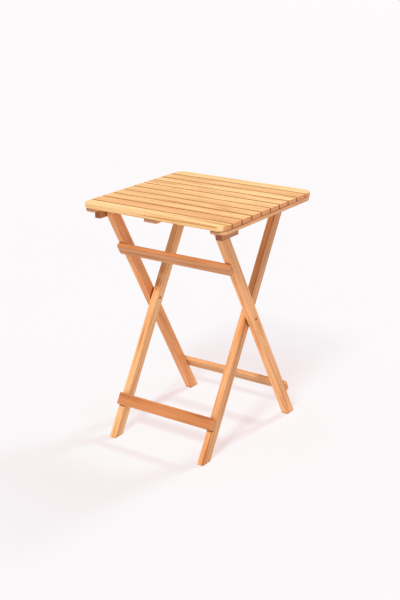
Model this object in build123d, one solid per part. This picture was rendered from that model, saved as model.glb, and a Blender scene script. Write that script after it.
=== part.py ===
from build123d import *
import math
import os

# Folding side table: a slatted top on two crossed leg frames that close like scissors.
# Millimetres and degrees. X runs along the slats, -Y is the front, +Z is up, and the
# origin is on the floor under the middle of the top. The table is modelled standing open.

# ---- Driving dimensions -------------------------------------------------------------

TOP_HEIGHT = 600.0            # floor to the upper face of the slats
TOP_LENGTH = 400.0            # along X, the length of every slat
CORNER_RADIUS = 22.0          # the four corners of the top, seen from above

SLAT_COUNT = 10
SLAT_WIDTH = 37.0
SLAT_GAP = 4.0
SLAT_THICKNESS = 12.0

BATTEN_WIDTH = 36.0
BATTEN_THICKNESS = 9.0
BATTEN_SETBACK = 4.0

LEG_TILT = 30.0               # each leg from the vertical, with the table open
LEG_WIDTH = 28.0              # across the leg, in the plane of the scissors
LEG_THICKNESS = 18.0          # along X
LEG_GAP = 2.8                 # between the crossed legs
BLOCK_GAP = 1.2               # between an outer leg and its pivot block
SCISSOR_Y = 3.5               # the crossing of the legs
SCISSOR_Z = 317.0

PIVOT_BLOCK_LENGTH = 69.0
PIVOT_BLOCK_THICKNESS = 17.0
PIVOT_BLOCK_HEIGHT = 20.0

RAIL_THICKNESS = 12.0
OUTER_UPPER_RAIL_WIDTH = 28.5
OUTER_LOWER_RAIL_WIDTH = 26.5
OUTER_UPPER_RAIL_AT = 188.5   # middle of each rail, along the leg from the scissor pivot
OUTER_LOWER_RAIL_AT = -280.0
INNER_RAIL_WIDTH = 30.0
INNER_LOWER_RAIL_AT = -273.5

RUNNING_CLEARANCE = 0.05      # radial, between a pin and the bore that turns on it
SIDE_CLEARANCE = 0.3          # between faces that slide past each other

PIN_DIAMETER = 5.0
HEAD_DIAMETER = 7.4
HEAD_THICKNESS = 2.6
HEAD_RECESS_DIAMETER = 8.0
HEAD_RECESS_DEPTH = 3.0
SOCKET_ACROSS_FLATS = 3.0
SOCKET_DEPTH = 1.6
WASHER_DIAMETER = 14.0

DOWEL_DIAMETER = 6.0
DOWEL_IN_RAIL = 8.0
DOWEL_IN_LEG = 12.0
DOWEL_SPACING = 14.0

WOOD_SCREW_DIAMETER = 3.5
WOOD_SCREW_HEAD = 7.0
SLAT_SCREW_LENGTH = 17.0
BLOCK_SCREW_LENGTH = 24.0
HEAD_SUNK = 0.4               # a wood screw's head lies this far inside the wood

TENON_DIAMETER = 12.0
TENON_LENGTH = 13.0

STOP_BLOCK_DEPTH = 24.0
STOP_BLOCK_HEIGHT = 18.0

SLAT_EASING = 1.0             # radii of the eased edges
BATTEN_EASING = 1.0
LEG_EASING = 1.8
FOOT_CHAMFER = 0.8
RAIL_EASING = 1.6

# ---- Derived places -----------------------------------------------------------------

SLAT_PITCH = SLAT_WIDTH + SLAT_GAP
TOP_DEPTH = SLAT_COUNT * SLAT_WIDTH + (SLAT_COUNT - 1) * SLAT_GAP
SLAT_UNDERSIDE = TOP_HEIGHT - SLAT_THICKNESS
BATTEN_UNDERSIDE = SLAT_UNDERSIDE - BATTEN_THICKNESS
SLAT_YS = [-TOP_DEPTH / 2 + SLAT_WIDTH / 2 + i * SLAT_PITCH for i in range(SLAT_COUNT)]
END_BATTEN_X = (TOP_LENGTH - BATTEN_WIDTH) / 2

# Plies along +X, from the middle of the table outwards. The left side mirrors them.
BLOCK_INNER_X = TOP_LENGTH / 2 - BATTEN_WIDTH
OUTER_LEG_OUT_X = BLOCK_INNER_X - BLOCK_GAP
OUTER_LEG_IN_X = OUTER_LEG_OUT_X - LEG_THICKNESS
INNER_LEG_OUT_X = OUTER_LEG_IN_X - LEG_GAP
INNER_LEG_IN_X = INNER_LEG_OUT_X - LEG_THICKNESS
OUTER_DOWEL_X = (OUTER_LEG_IN_X + OUTER_LEG_OUT_X) / 2
INNER_DOWEL_X = (INNER_LEG_IN_X + INNER_LEG_OUT_X) / 2

# Faces of the pins' heads and nuts, sunk in the legs, and the ends of the pins.
HEAD_DEPTH = HEAD_RECESS_DEPTH - HEAD_THICKNESS
SCISSOR_HEAD_FACE_X = OUTER_LEG_OUT_X - HEAD_DEPTH
NUT_FACE_X = INNER_LEG_IN_X + HEAD_DEPTH - SIDE_CLEARANCE
BOLT_END_X = NUT_FACE_X + 0.6
TOP_PIN_HEAD_FACE_X = OUTER_LEG_IN_X + HEAD_DEPTH - SIDE_CLEARANCE
TOP_PIN_END_X = BLOCK_INNER_X + PIVOT_BLOCK_THICKNESS - 3.5

# The top hinge is as far from the scissor pivot as the inner frame's top bar is, so that
# the top stays square to the line halfway between the two frames while they close.
HINGE_Z = BATTEN_UNDERSIDE - PIVOT_BLOCK_HEIGHT / 2
LEG_ABOVE_PIVOT = (HINGE_Z - SCISSOR_Z) / math.cos(math.radians(LEG_TILT))
HINGE_Y = SCISSOR_Y - LEG_ABOVE_PIVOT * math.sin(math.radians(LEG_TILT))
BAR_Y = SCISSOR_Y + LEG_ABOVE_PIVOT * math.sin(math.radians(LEG_TILT))
BAR_RADIUS = BATTEN_UNDERSIDE - HINGE_Z - SIDE_CLEARANCE
STOP_FRONT_Y = BAR_Y + BAR_RADIUS + SIDE_CLEARANCE

SIDES = {"left": -1, "right": 1}


def leg_frame(lean):
    """Frame at the scissor pivot: local Z runs up the leg, local Y is the leg's back side."""
    tilt = math.radians(LEG_TILT)
    up_the_leg = (0, lean * math.sin(tilt), math.cos(tilt))
    return Plane(origin=(0, SCISSOR_Y, SCISSOR_Z), x_dir=(1, 0, 0), z_dir=up_the_leg).location


OUTER_FRAME = leg_frame(-1)   # from the front of the top down to the back foot
INNER_FRAME = leg_frame(+1)   # from the back of the top down to the front foot


# ---- Shared shapes ------------------------------------------------------------------

def box_between(x, y, z):
    """A box given by its (low, high) pair along each axis."""
    size = [high - low for low, high in (x, y, z)]
    middle = [(high + low) / 2 for low, high in (x, y, z)]
    return Pos(*middle) * Box(*size)


def rod_along_x(diameter, x, y, z):
    """A round rod along X, between the pair x of places, in either order."""
    low, high = sorted(x)
    return Pos((low + high) / 2, y, z) * Rot(0, 90, 0) * Cylinder(diameter / 2, high - low)


def eased(solid, radius):
    """Every edge rounded by the same small radius."""
    return fillet(solid.edges(), radius)


def board(length_x, width_y, thickness, easing, round_corners):
    """A flat board whose upper face is at z = thickness. round_corners picks its big corners."""
    outline = Rectangle(length_x, width_y)
    big = round_corners(outline.vertices())
    small = [corner for corner in outline.vertices() if corner not in big]
    outline = fillet(small, easing)
    if big:
        places = [(corner.X, corner.Y) for corner in big]
        outline = fillet([v for v in outline.vertices() if (v.X, v.Y) in places], CORNER_RADIUS)
    solid = extrude(outline, thickness)
    faces = solid.faces().sort_by(Axis.Z)
    return fillet(faces[0].edges() + faces[-1].edges(), easing)


def wood_screw(length):
    """A countersunk wood screw that points up from z = 0, the level of its head's face."""
    head_depth = (WOOD_SCREW_HEAD - WOOD_SCREW_DIAMETER) / 2
    head = Pos(0, 0, head_depth / 2) * Cone(WOOD_SCREW_HEAD / 2, WOOD_SCREW_DIAMETER / 2, head_depth)
    tip_depth = WOOD_SCREW_DIAMETER
    shank_depth = length - head_depth - tip_depth
    shank = Pos(0, 0, head_depth + shank_depth / 2) * Cylinder(WOOD_SCREW_DIAMETER / 2, shank_depth)
    tip = Pos(0, 0, length - tip_depth / 2) * Cone(WOOD_SCREW_DIAMETER / 2, 0.4, tip_depth)
    return head + shank + tip


def screw_hole(length):
    """What a wood screw takes out of the wood, with its sunk head's mouth below z = 0."""
    mouth = Pos(0, 0, -HEAD_SUNK) * Cylinder(WOOD_SCREW_HEAD / 2, 2 * HEAD_SUNK)
    return wood_screw(length) + mouth


def at_each(places, solid):
    """Copies of a solid at a list of places."""
    return [Pos(*place) * solid for place in places]


# ---- Table top ----------------------------------------------------------------------

def slat(index):
    """One slat. The first and the last carry the rounded corners of the top."""
    def corners(vertices):
        if index == 0:
            return vertices.group_by(Axis.Y)[0]
        if index == SLAT_COUNT - 1:
            return vertices.group_by(Axis.Y)[-1]
        return []
    solid = board(TOP_LENGTH, SLAT_WIDTH, SLAT_THICKNESS, SLAT_EASING, corners)
    return Pos(0, SLAT_YS[index], SLAT_UNDERSIDE) * solid


def batten(side):
    """One cross batten under the slats: side is -1, 0 or +1. The end ones are round outside."""
    def corners(vertices):
        if side == 0:
            return []
        return vertices.group_by(Axis.X)[-1 if side > 0 else 0]
    solid = board(BATTEN_WIDTH, TOP_DEPTH - 2 * BATTEN_SETBACK, BATTEN_THICKNESS, BATTEN_EASING, corners)
    return Pos(side * END_BATTEN_X, 0, BATTEN_UNDERSIDE) * solid


def slat_screw_places():
    """One screw at each crossing of a slat and a batten, clear of the pivot blocks."""
    level = BATTEN_UNDERSIDE + HEAD_SUNK
    end_x = TOP_LENGTH / 2 - BATTEN_WIDTH / 3
    return [(x, y, level) for x in (-end_x, 0, end_x) for y in SLAT_YS]


def block_screw_places():
    """Two screws up through each pivot block, on either side of its hinge bore."""
    level = BATTEN_UNDERSIDE - PIVOT_BLOCK_HEIGHT + HEAD_SUNK
    x = BLOCK_INNER_X + PIVOT_BLOCK_THICKNESS / 2
    offset = PIVOT_BLOCK_LENGTH / 2 - 11
    return [(side * x, HINGE_Y + dy, level) for side in (-1, 1) for dy in (-offset, offset)]


def stop_screw_places():
    """Two screws up through the stop block, side by side."""
    level = BATTEN_UNDERSIDE - STOP_BLOCK_HEIGHT + HEAD_SUNK
    y = STOP_FRONT_Y + STOP_BLOCK_DEPTH / 2
    return [(x, y, level) for x in (-BATTEN_WIDTH / 4, BATTEN_WIDTH / 4)]


def pivot_block(side):
    """The block under an end batten that the outer leg hangs from."""
    x = sorted((side * BLOCK_INNER_X, side * (BLOCK_INNER_X + PIVOT_BLOCK_THICKNESS)))
    y = (HINGE_Y - PIVOT_BLOCK_LENGTH / 2, HINGE_Y + PIVOT_BLOCK_LENGTH / 2)
    z = (BATTEN_UNDERSIDE - PIVOT_BLOCK_HEIGHT, BATTEN_UNDERSIDE)
    block = eased(box_between(x, y, z), RAIL_EASING)
    bore = rod_along_x(PIN_DIAMETER, (side * (BLOCK_INNER_X - 1), side * TOP_PIN_END_X), HINGE_Y, HINGE_Z)
    return block - bore


def stop_block():
    """The block that keeps the inner frame's top bar from sliding further back."""
    y = (STOP_FRONT_Y, STOP_FRONT_Y + STOP_BLOCK_DEPTH)
    z = (BATTEN_UNDERSIDE - STOP_BLOCK_HEIGHT, BATTEN_UNDERSIDE)
    return eased(box_between((-BATTEN_WIDTH / 2, BATTEN_WIDTH / 2), y, z), RAIL_EASING)


# ---- Legs and rails -----------------------------------------------------------------

def leg_blank(x_low, x_high):
    """A leg in its own frame: round about the top pivot, long enough to reach the floor."""
    reach = (SCISSOR_Z + LEG_WIDTH) / math.cos(math.radians(LEG_TILT))
    bar = box_between((x_low, x_high), (-LEG_WIDTH / 2, LEG_WIDTH / 2), (-reach, LEG_ABOVE_PIVOT))
    round_end = rod_along_x(LEG_WIDTH, (x_low, x_high), 0, LEG_ABOVE_PIVOT)
    outline = (bar + round_end).clean()
    faces = outline.faces().sort_by(Axis.X)
    return fillet(faces[0].edges() + faces[-1].edges(), LEG_EASING)


def stand_on_floor(solid, frame):
    """Move a leg into its frame, cut its foot level with the floor and chamfer its edges."""
    below = Pos(0, 0, -TOP_HEIGHT / 2) * Box(3 * TOP_LENGTH, 3 * TOP_DEPTH, TOP_HEIGHT)
    solid = frame * solid - below
    foot = solid.faces().sort_by(Axis.Z)[0]
    return chamfer(foot.edges(), FOOT_CHAMFER)


def outer_leg(side):
    """Outer leg: head recesses for the scissor bolt, outside, and the top pivot, inside."""
    solid = leg_blank(*sorted((side * OUTER_LEG_IN_X, side * OUTER_LEG_OUT_X)))
    span = (side * (OUTER_LEG_IN_X - 1), side * (OUTER_LEG_OUT_X + 1))
    outside = (side * (OUTER_LEG_OUT_X - HEAD_RECESS_DEPTH), side * (OUTER_LEG_OUT_X + 1))
    inside = (side * (OUTER_LEG_IN_X - 1), side * (OUTER_LEG_IN_X + HEAD_RECESS_DEPTH))
    solid -= rod_along_x(PIN_DIAMETER, span, 0, 0)
    solid -= rod_along_x(HEAD_RECESS_DIAMETER, outside, 0, 0)
    solid -= rod_along_x(PIN_DIAMETER + 2 * RUNNING_CLEARANCE, span, 0, LEG_ABOVE_PIVOT)
    solid -= rod_along_x(HEAD_RECESS_DIAMETER, inside, 0, LEG_ABOVE_PIVOT)
    for rail_at, back in ((OUTER_UPPER_RAIL_AT, -1), (OUTER_LOWER_RAIL_AT, 1)):
        for dowel in rail_dowels([side * OUTER_DOWEL_X], rail_at, back):
            solid -= dowel
    return stand_on_floor(solid, OUTER_FRAME)


def inner_leg(side):
    """Inner leg: turns on the scissor bolt, and holds the top bar's tenon in a blind hole."""
    solid = leg_blank(*sorted((side * INNER_LEG_IN_X, side * INNER_LEG_OUT_X)))
    span = (side * (INNER_LEG_IN_X - 1), side * (INNER_LEG_OUT_X + 1))
    inside = (side * (INNER_LEG_IN_X - 1), side * (INNER_LEG_IN_X + HEAD_RECESS_DEPTH))
    socket = (side * (INNER_LEG_IN_X - 1), side * (INNER_LEG_IN_X + TENON_LENGTH))
    solid -= rod_along_x(PIN_DIAMETER + 2 * RUNNING_CLEARANCE, span, 0, 0)
    solid -= rod_along_x(HEAD_RECESS_DIAMETER, inside, 0, 0)
    solid -= rod_along_x(TENON_DIAMETER, socket, 0, LEG_ABOVE_PIVOT)
    for dowel in rail_dowels([side * INNER_DOWEL_X], INNER_LOWER_RAIL_AT, -1):
        solid -= dowel
    return stand_on_floor(solid, INNER_FRAME)


def rail_dowels(xs, rail_at, back):
    """Two dowels at each x, from a leg into the rail on its back (+1) or front (-1) face."""
    y = sorted((back * (LEG_WIDTH / 2 - DOWEL_IN_LEG), back * (LEG_WIDTH / 2 + DOWEL_IN_RAIL)))
    length = y[1] - y[0]
    dowel = Rot(90, 0, 0) * Cylinder(DOWEL_DIAMETER / 2, length)
    offsets = (-DOWEL_SPACING / 2, DOWEL_SPACING / 2)
    return [Pos(x, sum(y) / 2, rail_at + dz) * dowel for x in xs for dz in offsets]


def rail(half_length, width, rail_at, back, dowel_x):
    """A flat rail across the back (+1) or front (-1) faces of two legs, in the legs' frame."""
    y = sorted((back * LEG_WIDTH / 2, back * (LEG_WIDTH / 2 + RAIL_THICKNESS)))
    solid = box_between((-half_length, half_length), y, (rail_at - width / 2, rail_at + width / 2))
    solid = eased(solid, RAIL_EASING)
    for dowel in rail_dowels((-dowel_x, dowel_x), rail_at, back):
        solid -= dowel
    return solid


def top_bar():
    """The round bar of the inner frame that the top rests on, with a tenon at each end."""
    bar = rod_along_x(2 * BAR_RADIUS, (-INNER_LEG_IN_X, INNER_LEG_IN_X), 0, LEG_ABOVE_PIVOT)
    tenon_end = INNER_LEG_IN_X + TENON_LENGTH
    return bar + rod_along_x(TENON_DIAMETER, (-tenon_end, tenon_end), 0, LEG_ABOVE_PIVOT)


# ---- Pivots -------------------------------------------------------------------------

def socket_head_pin(side, head_face_x, tip_x, y, z):
    """A pin along X with a flat round head that has a hexagon socket."""
    inward = 1 if abs(tip_x) > abs(head_face_x) else -1
    head_back_x = head_face_x + inward * HEAD_THICKNESS
    socket_x = head_face_x + inward * SOCKET_DEPTH / 2
    pin = rod_along_x(HEAD_DIAMETER, (side * head_face_x, side * head_back_x), y, z)
    pin += rod_along_x(PIN_DIAMETER, (side * head_back_x, side * tip_x), y, z)
    hexagon = RegularPolygon(SOCKET_ACROSS_FLATS / 2, 6, major_radius=False)
    socket = Rot(0, 90, 0) * extrude(hexagon, SOCKET_DEPTH / 2, both=True)
    return pin - Pos(side * socket_x, y, z) * socket


def ring_along_x(outer_diameter, inner_diameter, x, y, z):
    """A flat ring about an axis along X."""
    return rod_along_x(outer_diameter, x, y, z) - rod_along_x(inner_diameter, x, y, z)


def scissor_bolt(side):
    """Bolt from the outer leg's outer face to the nut in the inner leg's inner face."""
    return socket_head_pin(side, SCISSOR_HEAD_FACE_X, BOLT_END_X, SCISSOR_Y, SCISSOR_Z)


def scissor_nut(side):
    """Round nut, sunk in the inner leg's inner face and fixed on the end of the bolt."""
    x = (side * NUT_FACE_X, side * (NUT_FACE_X + HEAD_THICKNESS))
    return ring_along_x(HEAD_DIAMETER, PIN_DIAMETER, x, SCISSOR_Y, SCISSOR_Z)


def scissor_washer(side):
    """Washer between the two crossed legs, against the outer one."""
    x = (side * (INNER_LEG_OUT_X + SIDE_CLEARANCE), side * OUTER_LEG_IN_X)
    return ring_along_x(WASHER_DIAMETER, PIN_DIAMETER, x, SCISSOR_Y, SCISSOR_Z)


def top_pivot_screw(side):
    """Screw from the outer leg's inner face, fast in the pivot block: the leg turns on it."""
    return socket_head_pin(side, TOP_PIN_HEAD_FACE_X, TOP_PIN_END_X, HINGE_Y, HINGE_Z)


def top_pivot_washer(side):
    """Washer between the outer leg and the pivot block, against the leg."""
    x = (side * OUTER_LEG_OUT_X, side * (BLOCK_INNER_X - SIDE_CLEARANCE))
    bore = PIN_DIAMETER + 2 * RUNNING_CLEARANCE
    return ring_along_x(WASHER_DIAMETER, bore, x, HINGE_Y, HINGE_Z)


# ---- Assembly -----------------------------------------------------------------------

def drilled(solid, places, length):
    """A solid with the holes of the wood screws that stand at these places."""
    for hole in at_each(places, screw_hole(length)):
        solid -= hole
    return solid


def near(places, x, y, reach_x, reach_y):
    """The places within a rectangle about (x, y)."""
    return [p for p in places if abs(p[0] - x) < reach_x and abs(p[1] - y) < reach_y]


def table_top():
    """The slats, battens, blocks and their screws, by node name."""
    slat_at = slat_screw_places()
    block_at = block_screw_places()
    stop_at = stop_screw_places()
    nodes = {}
    for index, y in enumerate(SLAT_YS):
        crossing = near(slat_at, 0, y, TOP_LENGTH, 1)
        nodes[f"slat_{index + 1:02d}"] = drilled(slat(index), crossing, SLAT_SCREW_LENGTH)
    for name, side in (("left", -1), ("middle", 0), ("right", 1)):
        x = side * END_BATTEN_X
        solid = drilled(batten(side), near(slat_at, x, 0, BATTEN_WIDTH, TOP_DEPTH), SLAT_SCREW_LENGTH)
        above = near(block_at + stop_at, x, 0, BATTEN_WIDTH, TOP_DEPTH)
        nodes[f"batten_{name}"] = drilled(solid, above, BLOCK_SCREW_LENGTH)
    for name, side in SIDES.items():
        own = near(block_at, side * BLOCK_INNER_X, HINGE_Y, BATTEN_WIDTH, TOP_DEPTH)
        nodes[f"pivot_block_{name}"] = drilled(pivot_block(side), own, BLOCK_SCREW_LENGTH)
    nodes["stop_block"] = drilled(stop_block(), stop_at, BLOCK_SCREW_LENGTH)
    nodes["slat_screws"] = at_each(slat_at, wood_screw(SLAT_SCREW_LENGTH))
    nodes["pivot_block_screws"] = at_each(block_at, wood_screw(BLOCK_SCREW_LENGTH))
    nodes["stop_block_screws"] = at_each(stop_at, wood_screw(BLOCK_SCREW_LENGTH))
    return nodes


def outer_frame():
    """The frame from the top hinge down to the back feet, by node name."""
    rails = {
        "outer_upper_rail": (OUTER_UPPER_RAIL_WIDTH, OUTER_UPPER_RAIL_AT, -1),
        "outer_lower_rail": (OUTER_LOWER_RAIL_WIDTH, OUTER_LOWER_RAIL_AT, 1),
    }
    nodes = {f"outer_leg_{name}": outer_leg(side) for name, side in SIDES.items()}
    dowels = []
    for name, (width, rail_at, back) in rails.items():
        nodes[name] = OUTER_FRAME * rail(OUTER_LEG_OUT_X, width, rail_at, back, OUTER_DOWEL_X)
        dowels += rail_dowels((-OUTER_DOWEL_X, OUTER_DOWEL_X), rail_at, back)
    nodes["outer_rail_dowels"] = [OUTER_FRAME * dowel for dowel in dowels]
    return nodes


def inner_frame():
    """The frame from the top bar down to the front feet, by node name."""
    nodes = {f"inner_leg_{name}": inner_leg(side) for name, side in SIDES.items()}
    nodes["inner_lower_rail"] = INNER_FRAME * rail(
        INNER_LEG_OUT_X, INNER_RAIL_WIDTH, INNER_LOWER_RAIL_AT, -1, INNER_DOWEL_X)
    nodes["inner_top_bar"] = INNER_FRAME * top_bar()
    dowels = rail_dowels((-INNER_DOWEL_X, INNER_DOWEL_X), INNER_LOWER_RAIL_AT, -1)
    nodes["inner_rail_dowels"] = [INNER_FRAME * dowel for dowel in dowels]
    return nodes


def pivots():
    """The bolts, nuts, screws and washers of both hinges, one node for each kind."""
    makers = {
        "scissor_bolts": scissor_bolt,
        "scissor_nuts": scissor_nut,
        "scissor_washers": scissor_washer,
        "top_pivot_screws": top_pivot_screw,
        "top_pivot_washers": top_pivot_washer,
    }
    return {name: [make(side) for side in SIDES.values()] for name, make in makers.items()}


def write_step(name, solids):
    """Write one node, which is a solid or a list of separate solids."""
    shape = Compound(solids) if isinstance(solids, list) else solids
    shape.label = name
    export_step(shape, f"parts/{name}.step")


os.makedirs("parts", exist_ok=True)
for nodes in (table_top(), outer_frame(), inner_frame(), pivots()):
    for name, solids in nodes.items():
        write_step(name, solids)
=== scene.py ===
import math

import bpy
from mathutils import Matrix, Vector

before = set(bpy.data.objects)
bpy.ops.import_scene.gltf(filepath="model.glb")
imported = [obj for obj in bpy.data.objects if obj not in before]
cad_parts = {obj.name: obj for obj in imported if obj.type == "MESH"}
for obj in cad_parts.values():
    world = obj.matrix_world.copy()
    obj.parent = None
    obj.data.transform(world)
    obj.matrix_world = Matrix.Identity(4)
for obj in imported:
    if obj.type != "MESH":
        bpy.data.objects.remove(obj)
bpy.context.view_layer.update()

# Folding side table in lacquered beech. Metres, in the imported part's own frame.

# ---- What the looks are built from ----------------------------------------------------

LEG_TILT = math.radians(30)      # each leg from the vertical; the grain follows the leg
QUARTER_TURN = math.radians(90)

# Turns that bring a piece's grain onto the texture's X axis.
GRAIN_X = (0, 0, 0)
GRAIN_Y = (0, 0, -QUARTER_TURN)
GRAIN_OUTER_LEG = (-LEG_TILT, QUARTER_TURN, 0)
GRAIN_INNER_LEG = (LEG_TILT, QUARTER_TURN, 0)

# The same directions, in the object's own axes, for telling end grain from side grain.
ALONG_X = (1, 0, 0)
ALONG_Y = (0, 1, 0)
ALONG_OUTER_LEG = (0, -math.sin(LEG_TILT), math.cos(LEG_TILT))
ALONG_INNER_LEG = (0, math.sin(LEG_TILT), math.cos(LEG_TILT))

RING_WIDTH = 0.0052              # from one growth ring to the next
PITH_OFFSET = (0.05, 0.03)       # from the trunk's centre to the first piece, across the grain
WAVE_TURNS_PER_UNIT = 20.0       # a wave texture's phase, in radians, for one unit at scale 1


# ---- Node helpers -----------------------------------------------------------------------

class Nodes:
    """Adds nodes to one material and joins them up."""

    def __init__(self, name):
        self.material = bpy.data.materials.new(name)
        self.material.use_nodes = True
        self.tree = self.material.node_tree
        self.tree.nodes.clear()
        self.output = self.tree.nodes.new("ShaderNodeOutputMaterial")

    def add(self, kind, settings=None, **sockets):
        """A node with its settings, and with each input linked or set. Keys use _ for a space."""
        node = self.tree.nodes.new(kind)
        for key, value in (settings or {}).items():
            setattr(node, key, value)
        for key, value in sockets.items():
            self.put(node.inputs[key.replace("_", " ")], value)
        return node

    def put(self, socket, value):
        if isinstance(value, bpy.types.NodeSocket):
            self.tree.links.new(value, socket)
        else:
            socket.default_value = value

    def math(self, operation, *values):
        node = self.tree.nodes.new("ShaderNodeMath")
        node.operation = operation
        for socket, value in zip(node.inputs, values):
            self.put(socket, value)
        return node.outputs[0]

    def vector(self, operation, a, b):
        node = self.tree.nodes.new("ShaderNodeVectorMath")
        node.operation = operation
        self.put(node.inputs[0], a)
        self.put(node.inputs[1], b)
        return node.outputs["Value" if operation == "DOT_PRODUCT" else "Vector"]

    def ramp(self, factor, *stops):
        """A colour ramp through (position, grey or colour) stops."""
        node = self.tree.nodes.new("ShaderNodeValToRGB")
        elements = node.color_ramp.elements
        while len(elements) < len(stops):
            elements.new(0.5)
        for element, (position, colour) in zip(elements, stops):
            element.position = position
            element.color = (colour,) * 3 + (1,) if isinstance(colour, (int, float)) else (*colour, 1)
        self.put(node.inputs["Fac"], factor)
        return node.outputs["Color"]

    def step(self, value, low, high, low_to=0.0, high_to=1.0):
        """A smooth step of value from low..high to low_to..high_to."""
        node = self.add("ShaderNodeMapRange", {"interpolation_type": "SMOOTHSTEP"}, Value=value)
        for key, number in (("From Min", low), ("From Max", high), ("To Min", low_to), ("To Max", high_to)):
            node.inputs[key].default_value = number
        return node.outputs["Result"]

    def blend(self, factor, a, b, mode="MIX"):
        node = self.tree.nodes.new("ShaderNodeMix")
        node.data_type = "RGBA"
        node.blend_type = mode
        self.put(node.inputs[0], factor)
        self.put(node.inputs[6], a)
        self.put(node.inputs[7], b)
        return node.outputs[2]

    def noise(self, where, scale, detail=3.0, roughness=0.55, distortion=0.0):
        node = self.add("ShaderNodeTexNoise", Vector=where, Scale=scale, Detail=detail,
                        Roughness=roughness, Distortion=distortion)
        return node.outputs["Fac"]

    def finish(self, shader):
        self.tree.links.new(shader.outputs[0], self.output.inputs["Surface"])
        return self.material


def rgba(colour):
    return (*colour, 1.0)


# ---- Beech --------------------------------------------------------------------------------

def edge_mask(nodes, radius):
    """1 along the piece's eased edges, 0 on its flat faces."""
    bevel = nodes.add("ShaderNodeBevel", {"samples": 6}, Radius=radius)
    geometry = nodes.add("ShaderNodeNewGeometry")
    level = nodes.vector("DOT_PRODUCT", bevel.outputs["Normal"], geometry.outputs["True Normal"])
    return nodes.step(level, 0.999, 0.90)


def corner_shade_mask(nodes, reach):
    """1 in the corners where the piece meets another, fading out over the reach; it marks where shade is
    painted.
    """
    near = nodes.add("ShaderNodeAmbientOcclusion", {"samples": 8}, Distance=reach)
    return nodes.step(near.outputs["AO"], 0.80, 0.40)


def painted_gap_shade(nodes, y, sides):
    """How dark the painted shade on a slat's long sides is: sides holds each one's Y, its way out, and how
    dark.
    """
    side_shade = 0.0
    for at, outward, strength in sides:
        depth = nodes.math("MULTIPLY_ADD", y, outward, -outward * at)
        side_shade = nodes.math("MAXIMUM", nodes.step(depth, -0.0013, -0.0002, 0.0, strength), side_shade)
    return side_shade


def grain_noise(nodes, wood, along, across, detail, roughness=0.55):
    """Noise drawn out along the grain: along and across are its cells to the metre."""
    return nodes.noise(nodes.vector("MULTIPLY", wood, (along, across, across)), 1.0, detail, roughness)


def growth_rings(nodes, wood):
    """1 in the late wood of each ring about the pith, pulled about by a slow wander."""
    wander = grain_noise(nodes, wood, 1.3, 9.0, 2.0)
    rings = nodes.add("ShaderNodeTexWave", {"wave_type": "RINGS", "rings_direction": "X",
                                            "wave_profile": "SAW"},
                      Vector=wood, Scale=2 * math.pi / (WAVE_TURNS_PER_UNIT * RING_WIDTH),
                      Distortion=1.2, Detail=2.0, Detail_Scale=0.16,
                      Phase_Offset=nodes.math("MULTIPLY", wander, 26.0)).outputs["Fac"]
    return nodes.step(rings, 0.25, 0.98)


def side_grain(nodes, wood, late_wood, fibres, light, dark):
    """The colour along the grain, from early wood (light) to late wood (dark) and brown veins."""
    streaks = grain_noise(nodes, wood, 4.5, 130.0, 3.0, 0.6)
    veins = nodes.step(grain_noise(nodes, wood, 3.0, 260.0, 2.0, 0.5), 0.56, 0.68)
    cloud = grain_noise(nodes, wood, 9.0, 42.0, 2.0, 0.5)
    tone = nodes.math("MULTIPLY_ADD", late_wood, 0.34, 0.02)
    tone = nodes.math("ADD", tone, nodes.math("MULTIPLY_ADD", streaks, 2.1, -0.92))
    tone = nodes.math("ADD", tone, nodes.math("MULTIPLY_ADD", fibres, 0.7, -0.35))
    tone = nodes.math("ADD", tone, nodes.math("MULTIPLY_ADD", cloud, 1.0, -0.5))
    tone = nodes.math("ADD", tone, nodes.math("MULTIPLY", veins, 0.45))
    middle = [0.55 * early + 0.45 * late for early, late in zip(light, dark)]
    vein_colour = [0.8 * dark[0], 0.68 * dark[1], 0.6 * dark[2]]
    return nodes.ramp(tone, (0.0, light), (0.45, middle), (0.8, dark), (1.0, vein_colour))


def sawn_end(nodes, wood, late_wood, end_grain):
    """The colour of sawn ends, which drink more lacquer: darker, redder and full of pores."""
    pores = nodes.step(nodes.noise(wood, 1700.0, 1.0), 0.45, 0.75)
    colour = nodes.blend(nodes.math("MULTIPLY", pores, 0.35), rgba(end_grain),
                         rgba([0.6 * part for part in end_grain]))
    return nodes.blend(nodes.math("MULTIPLY", late_wood, 0.3), colour,
                       rgba([0.7 * part for part in end_grain]))


def add_wear_and_painted_light(nodes, wood, colour, light, dark):
    """Brown the eased edges, rub them pale here and there, partly worn and partly a painted highlight, and
    paint shade into the corners where pieces meet.
    """
    edge = edge_mask(nodes, 0.0012)
    colour = nodes.blend(nodes.math("MULTIPLY", edge, 0.6), colour, rgba([0.62 * part for part in dark]))
    # The pale rubbed patches on the eased edges are partly wear and partly a painted highlight.
    worn_and_highlit = nodes.step(nodes.noise(wood, 70.0, 3.0, 0.65), 0.58, 0.72)
    pale = rgba([min(1.0, 1.06 * part + 0.03) for part in light])
    colour = nodes.blend(nodes.math("MULTIPLY", nodes.math("MULTIPLY", edge, worn_and_highlit), 0.5), colour, pale)
    # Painted shade: the corners where pieces meet are darkened.
    painted_corner_shade = nodes.math("MULTIPLY", corner_shade_mask(nodes, 0.009), 0.65)
    return nodes.blend(painted_corner_shade, colour, rgba([0.55 * dark[0], 0.42 * dark[1], 0.36 * dark[2]]))


def add_slat_shade(nodes, place, colour, end, gaps, underside):
    """Paint shade on a slat's sides, by gaps, and on the foot of its sawn ends, just above its underside.
    """
    where = nodes.add("ShaderNodeSeparateXYZ", Vector=place).outputs
    colour = nodes.blend(painted_gap_shade(nodes, where["Y"], gaps), colour, rgba(GAP_SHADE))
    foot = nodes.step(where["Z"], underside + 0.0008, underside + 0.0026, 1.0, 0.0)
    foot = nodes.math("MULTIPLY", foot, nodes.math("MULTIPLY", end, 0.85))
    return nodes.blend(foot, colour, rgba(GAP_SHADE))


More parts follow.
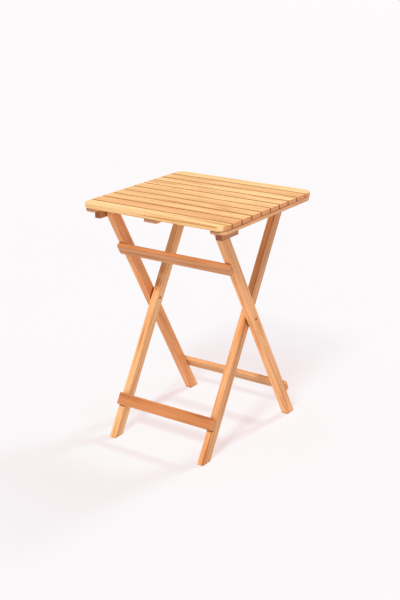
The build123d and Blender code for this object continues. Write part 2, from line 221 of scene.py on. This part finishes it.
def beech(name, grain, along, seed, light, dark, end_grain, gloss=0.40, gaps=(), underside=0.0):
    """Lacquered beech cut from its own place in a trunk, so no two pieces match.

    grain turns the piece's grain onto X, and along is the grain in the piece's own axes. seed
    picks the place in the trunk. light and dark are the early and late wood. gaps and underside
    place the painted shade on slats, as in add_slat_shade."""
    nodes = Nodes(name)
    place = nodes.add("ShaderNodeTexCoord")
    lie = (0.31 * seed, PITH_OFFSET[0] + 0.0137 * seed, PITH_OFFSET[1] + 0.0071 * seed)
    drift = (grain[0], grain[1] + 0.006 * math.sin(seed), grain[2] + 0.009 * math.cos(1.7 * seed))
    wood = nodes.add("ShaderNodeMapping", Vector=place.outputs["Object"], Rotation=drift,
                     Location=lie).outputs["Vector"]
    late_wood = growth_rings(nodes, wood)
    fibres = grain_noise(nodes, wood, 7.0, 420.0, 3.0, 0.6)
    flecks = nodes.step(grain_noise(nodes, wood, 260.0, 1500.0, 1.0, 0.5), 0.66, 0.74)
    facing = nodes.vector("DOT_PRODUCT", place.outputs["Normal"], along)
    end = nodes.step(nodes.math("ABSOLUTE", facing), 0.72, 0.95)

    colour = side_grain(nodes, wood, late_wood, fibres, light, dark)
    colour = nodes.blend(nodes.math("MULTIPLY", flecks, 0.35), colour, rgba([0.55 * part for part in dark]))
    colour = nodes.blend(nodes.math("MULTIPLY", end, 0.9), colour,
                         sawn_end(nodes, wood, late_wood, end_grain))
    colour = add_wear_and_painted_light(nodes, wood, colour, light, dark)
    # Painted shade on a slat's sides by the gaps and at the foot of its sawn ends.
    if gaps:
        colour = add_slat_shade(nodes, place.outputs["Object"], colour, end, gaps, underside)

    smear = grain_noise(nodes, wood, 9.0, 30.0, 4.0, 0.6)
    roughness = nodes.math("MULTIPLY_ADD", smear, 0.22, gloss - 0.11)
    roughness = nodes.math("ADD", roughness, nodes.math("MULTIPLY", end, 0.18))
    relief = nodes.math("MULTIPLY_ADD", fibres, 0.6, nodes.math("MULTIPLY", late_wood, 0.25))
    relief = nodes.math("SUBTRACT", relief, nodes.math("MULTIPLY", flecks, 0.5))
    bump = nodes.add("ShaderNodeBump", Strength=0.35, Distance=0.00012, Height=relief)
    shader = nodes.add("ShaderNodeBsdfPrincipled", Base_Color=colour, Roughness=roughness,
                       Specular_IOR_Level=0.3, Coat_Weight=0.08, Coat_Roughness=0.28,
                       Normal=bump.outputs["Normal"])
    return nodes.finish(shader)


# ---- Steel --------------------------------------------------------------------------------

def steel(name, bright, dull, roughness):
    """Turned steel with a thin uneven plating: cloudy tone, fine tool marks, rubbed edges."""
    nodes = Nodes(name)
    place = nodes.add("ShaderNodeTexCoord").outputs["Object"]
    cloud = nodes.noise(place, 420.0, 4.0, 0.6)
    marks = nodes.noise(nodes.vector("MULTIPLY", place, (5200.0, 900.0, 900.0)), 1.0, 2.0)
    spots = nodes.step(nodes.noise(place, 1500.0, 2.0), 0.62, 0.72)
    colour = nodes.blend(nodes.step(cloud, 0.3, 0.7), rgba(dull), rgba(bright))
    colour = nodes.blend(nodes.math("MULTIPLY", spots, 0.5), colour, rgba([0.35 * part for part in dull]))
    rubbed = nodes.math("MULTIPLY", edge_mask(nodes, 0.0003), 0.6)
    colour = nodes.blend(rubbed, colour, rgba([min(1.0, 1.5 * part) for part in bright]))
    rough = nodes.math("ADD", nodes.math("MULTIPLY_ADD", marks, 0.22, roughness - 0.11),
                       nodes.math("MULTIPLY", spots, 0.2))
    bump = nodes.add("ShaderNodeBump", Strength=0.3, Distance=0.00004, Height=marks)
    shader = nodes.add("ShaderNodeBsdfPrincipled", Base_Color=colour, Metallic=1.0, Roughness=rough,
                       Normal=bump.outputs["Normal"])
    return nodes.finish(shader)


# ---- Dressing the nodes -------------------------------------------------------------------

def dress(node, material):
    """Give a CAD node its material, on every slot it has."""
    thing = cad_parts[node]
    if not thing.material_slots:
        thing.data.materials.append(material)
    for slot in thing.material_slots:
        slot.material = material


# Early and late wood of each kind of board, then the end grains and the painted shade for the slats' gaps.
SLAT_LIGHT = (0.89, 0.60, 0.31)
SLAT_DARK = (0.70, 0.385, 0.15)
# The outer legs are paler and the inner legs darker partly as painted light, evening out how the lamps fall
# on their faces.
OUTER_LIGHT = (0.97, 0.545, 0.265)
OUTER_DARK = (0.76, 0.32, 0.112)
INNER_LIGHT = (0.86, 0.51, 0.265)
INNER_DARK = (0.64, 0.28, 0.10)
RAIL_LIGHT = (0.66, 0.32, 0.145)
RAIL_DARK = (0.53, 0.22, 0.085)
BATTEN_LIGHT = (0.86, 0.49, 0.25)
BATTEN_DARK = (0.66, 0.31, 0.13)
END_GRAIN = (0.84, 0.38, 0.17)
# The batten and block ends are end grain darkened with painted shade from the top above them.
BATTEN_END_SHADED = (0.50, 0.27, 0.15)
BLOCK_END_SHADED = (0.44, 0.17, 0.085)
# Painted shade for the slats' gaps, their open edges and the feet of their ends.
GAP_SHADE = (0.44, 0.18, 0.055)
GAP_SIDE = 0.75                  # how dark the painted shade is on a slat's side towards a gap
OPEN_SIDE = 0.25                 # and along the top's front and back edges

# How pale each board is, from the front slat to the back one, and by rail. The rails' tones are partly
# painted light, evening out how brightly the lamps light each rail.
SLAT_TONES = (1.10, 0.85, 1.0, 0.97, 0.97, 1.04, 1.01, 1.07, 1.01, 1.09)
RAIL_TONES = {"outer_upper_rail": 1.06, "outer_lower_rail": 1.3, "inner_lower_rail": 0.92,
              "inner_top_bar": 1.1}


def shade(colour, tone):
    """A paler (over 1) or darker wood: darker wood is also redder."""
    red, green, blue = colour
    return (min(1.0, red * tone ** 0.4), green * tone, blue * tone ** 1.4)


def dress_top():
    """The slats, battens and blocks."""
    for index, tone in enumerate(SLAT_TONES):
        name = f"slat_{index + 1:02d}"
        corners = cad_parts[name].bound_box
        front = min(corner[1] for corner in corners)
        back = max(corner[1] for corner in corners)
        underside = min(corner[2] for corner in corners)
        # Painted shade on each slat's sides, lighter along the top's open front and back edges.
        front_shade = GAP_SIDE if index > 0 else OPEN_SIDE
        back_shade = GAP_SIDE if index < len(SLAT_TONES) - 1 else OPEN_SIDE
        gaps = ((front, -1, front_shade), (back, 1, back_shade))
        dress(name, beech(f"beech_{name}", GRAIN_X, ALONG_X, 3.1 + 2.7 * index, shade(SLAT_LIGHT, tone),
                          shade(SLAT_DARK, tone), END_GRAIN, gaps=gaps, underside=underside))
    # The batten and block ends are darkened with painted shade.
    for index, name in enumerate(("batten_left", "batten_middle", "batten_right")):
        dress(name, beech(f"beech_{name}", GRAIN_Y, ALONG_Y, 41.0 + 3.3 * index, BATTEN_LIGHT, BATTEN_DARK,
                          BATTEN_END_SHADED))
    for index, name in enumerate(("pivot_block_left", "pivot_block_right", "stop_block")):
        along = (GRAIN_X, ALONG_X) if name == "stop_block" else (GRAIN_Y, ALONG_Y)
        dress(name, beech(f"beech_{name}", *along, 57.0 + 1.9 * index, RAIL_LIGHT, RAIL_DARK, BLOCK_END_SHADED))


def dress_frames():
    """The legs, rails and dowels."""
    # Each leg's tone is partly painted light; the left outer leg is darkened as painted shade under the
    # top.
    for index, (side, outer_tone, inner_tone) in enumerate((("left", 0.86, 1.08), ("right", 1.0, 0.90))):
        name = f"outer_leg_{side}"
        dress(name, beech(f"beech_{name}", GRAIN_OUTER_LEG, ALONG_OUTER_LEG, 71.0 + 4.1 * index,
                          shade(OUTER_LIGHT, outer_tone), shade(OUTER_DARK, outer_tone), END_GRAIN))
        name = f"inner_leg_{side}"
        dress(name, beech(f"beech_{name}", GRAIN_INNER_LEG, ALONG_INNER_LEG, 83.0 + 5.3 * index,
                          shade(INNER_LIGHT, inner_tone), shade(INNER_DARK, inner_tone), END_GRAIN))
    for index, (name, tone) in enumerate(RAIL_TONES.items()):
        dress(name, beech(f"beech_{name}", GRAIN_X, ALONG_X, 97.0 + 3.7 * index, shade(RAIL_LIGHT, tone),
                          shade(RAIL_DARK, tone), END_GRAIN))
    dowel = beech("beech_dowels", GRAIN_X, ALONG_Y, 113.0, SLAT_LIGHT, SLAT_DARK, END_GRAIN, 0.6)
    for name in ("outer_rail_dowels", "inner_rail_dowels"):
        dress(name, dowel)


def dress_hardware():
    """Zinc-plated wood screws, and the pivots in bronzed steel."""
    zinc = steel("zinc_plated_steel", (0.72, 0.70, 0.64), (0.50, 0.48, 0.44), 0.36)
    for name in ("slat_screws", "pivot_block_screws", "stop_block_screws"):
        dress(name, zinc)
    bronzed = steel("bronzed_steel", (0.50, 0.33, 0.19), (0.24, 0.145, 0.08), 0.42)
    for name in ("scissor_bolts", "scissor_nuts", "scissor_washers", "top_pivot_screws",
                 "top_pivot_washers"):
        dress(name, bronzed)


dress_top()
dress_frames()
dress_hardware()


# ---- Floor, light and camera --------------------------------------------------------------

FLOOR_BRIGHTNESS = 0.975         # of the far floor, and of the band of sky behind it


def floor_material():
    """A white sheet lit from below, so that shadows on it stay light and fade with distance."""
    nodes = Nodes("studio_floor")
    place = nodes.add("ShaderNodeTexCoord").outputs["Object"]
    distance = nodes.add("ShaderNodeVectorMath", {"operation": "LENGTH"}, Vector=place).outputs["Value"]
    far = nodes.step(distance, 0.25, 0.75)
    colour = nodes.blend(far, (0.125, 0.255, 0.265, 1.0), (0.080, 0.090, 0.090, 1.0))
    glow = nodes.blend(far, (0.805, 0.610, 0.609, 1.0), (0.865, 0.832, 0.848, 1.0))
    cloud = nodes.ramp(nodes.noise(place, 1.1, 2.0), (0.3, 0.97), (0.7, 1.0))
    colour = nodes.blend(1.0, colour, cloud, "MULTIPLY")
    roughness = nodes.math("MULTIPLY_ADD", nodes.noise(place, 60.0), 0.1, 0.75)
    shader = nodes.add("ShaderNodeBsdfPrincipled", Base_Color=colour, Roughness=roughness,
                       Specular_IOR_Level=0.05, Emission_Color=glow, Emission_Strength=1.0)
    return nodes.finish(shader)


def make_floor(radius=400.0):
    bpy.ops.mesh.primitive_circle_add(vertices=96, radius=radius, fill_type="NGON", location=(0, 0, 0))
    floor = bpy.context.object
    floor.name = "studio_floor"
    floor.data.materials.append(floor_material())


def towards(azimuth, elevation):
    """A unit vector from the table: azimuth 0 is the front, and positive turns towards +X."""
    a, e = math.radians(azimuth), math.radians(elevation)
    return Vector((math.sin(a) * math.cos(e), -math.cos(a) * math.cos(e), math.sin(e)))


def add_light(name, azimuth, elevation, strength, softness, colour):
    """A broad far lamp. softness is how wide it looks from the table, in degrees."""
    lamp = bpy.data.lights.new(name, "SUN")
    lamp.energy = strength
    lamp.angle = math.radians(softness)
    lamp.color = colour
    holder = bpy.data.objects.new(name, lamp)
    way = towards(azimuth, elevation)
    holder.location = way * 3.0
    holder.rotation_euler = (-way).to_track_quat("-Z", "Y").to_euler()
    bpy.context.collection.objects.link(holder)


def light_world(horizon, zenith):
    """Soft light from all around, brighter overhead, with a pale band that the floor fades into."""
    world = bpy.data.worlds.new("studio")
    world.use_nodes = True
    tree = world.node_tree
    background = tree.nodes["Background"]
    background.inputs["Color"].default_value = (1.0, 0.98, 0.995, 1.0)
    way = tree.nodes.new("ShaderNodeTexCoord")
    height = tree.nodes.new("ShaderNodeSeparateXYZ")
    level = tree.nodes.new("ShaderNodeMapRange")
    level.inputs["To Min"].default_value = horizon
    level.inputs["To Max"].default_value = zenith
    tree.links.new(way.outputs["Generated"], height.inputs["Vector"])
    tree.links.new(height.outputs["Z"], level.inputs["Value"])
    band = tree.nodes.new("ShaderNodeMapRange")
    band.interpolation_type = "SMOOTHSTEP"
    for key, value in (("From Min", 0.02), ("From Max", 0.22),
                       ("To Min", FLOOR_BRIGHTNESS - horizon), ("To Max", 0.0)):
        band.inputs[key].default_value = value
    both = tree.nodes.new("ShaderNodeMath")
    tree.links.new(height.outputs["Z"], band.inputs["Value"])
    tree.links.new(level.outputs["Result"], both.inputs[0])
    tree.links.new(band.outputs["Result"], both.inputs[1])
    tree.links.new(both.outputs[0], background.inputs["Strength"])
    bpy.context.scene.world = world


def make_camera():
    """The camera of the picture: from the front right, a little above the top."""
    data = bpy.data.cameras.new("camera")
    data.sensor_fit = "AUTO"
    data.sensor_width = 36.0
    data.lens = 67.9
    camera = bpy.data.objects.new("camera", data)
    target = Vector((-0.002, 0.0049, 0.3336))
    back = towards(34.3, 19.26)
    camera.location = target + back * 2.819
    turn = (-back).to_track_quat("-Z", "Y").to_matrix().to_4x4()
    roll = math.radians(-0.16)
    camera.rotation_euler = (turn @ Matrix.Rotation(roll, 4, "Z")).to_euler()
    bpy.context.collection.objects.link(camera)
    bpy.context.scene.camera = camera


make_floor()
light_world(0.18, 0.52)
add_light("key", 13.0, 46.0, 2.4, 10.0, (1.0, 0.985, 0.96))
add_light("back", 168.0, 46.0, 1.7, 9.0, (1.0, 0.985, 0.97))
make_camera()
view = bpy.context.scene.view_settings
view.view_transform = "Standard"
view.gamma = 0.85
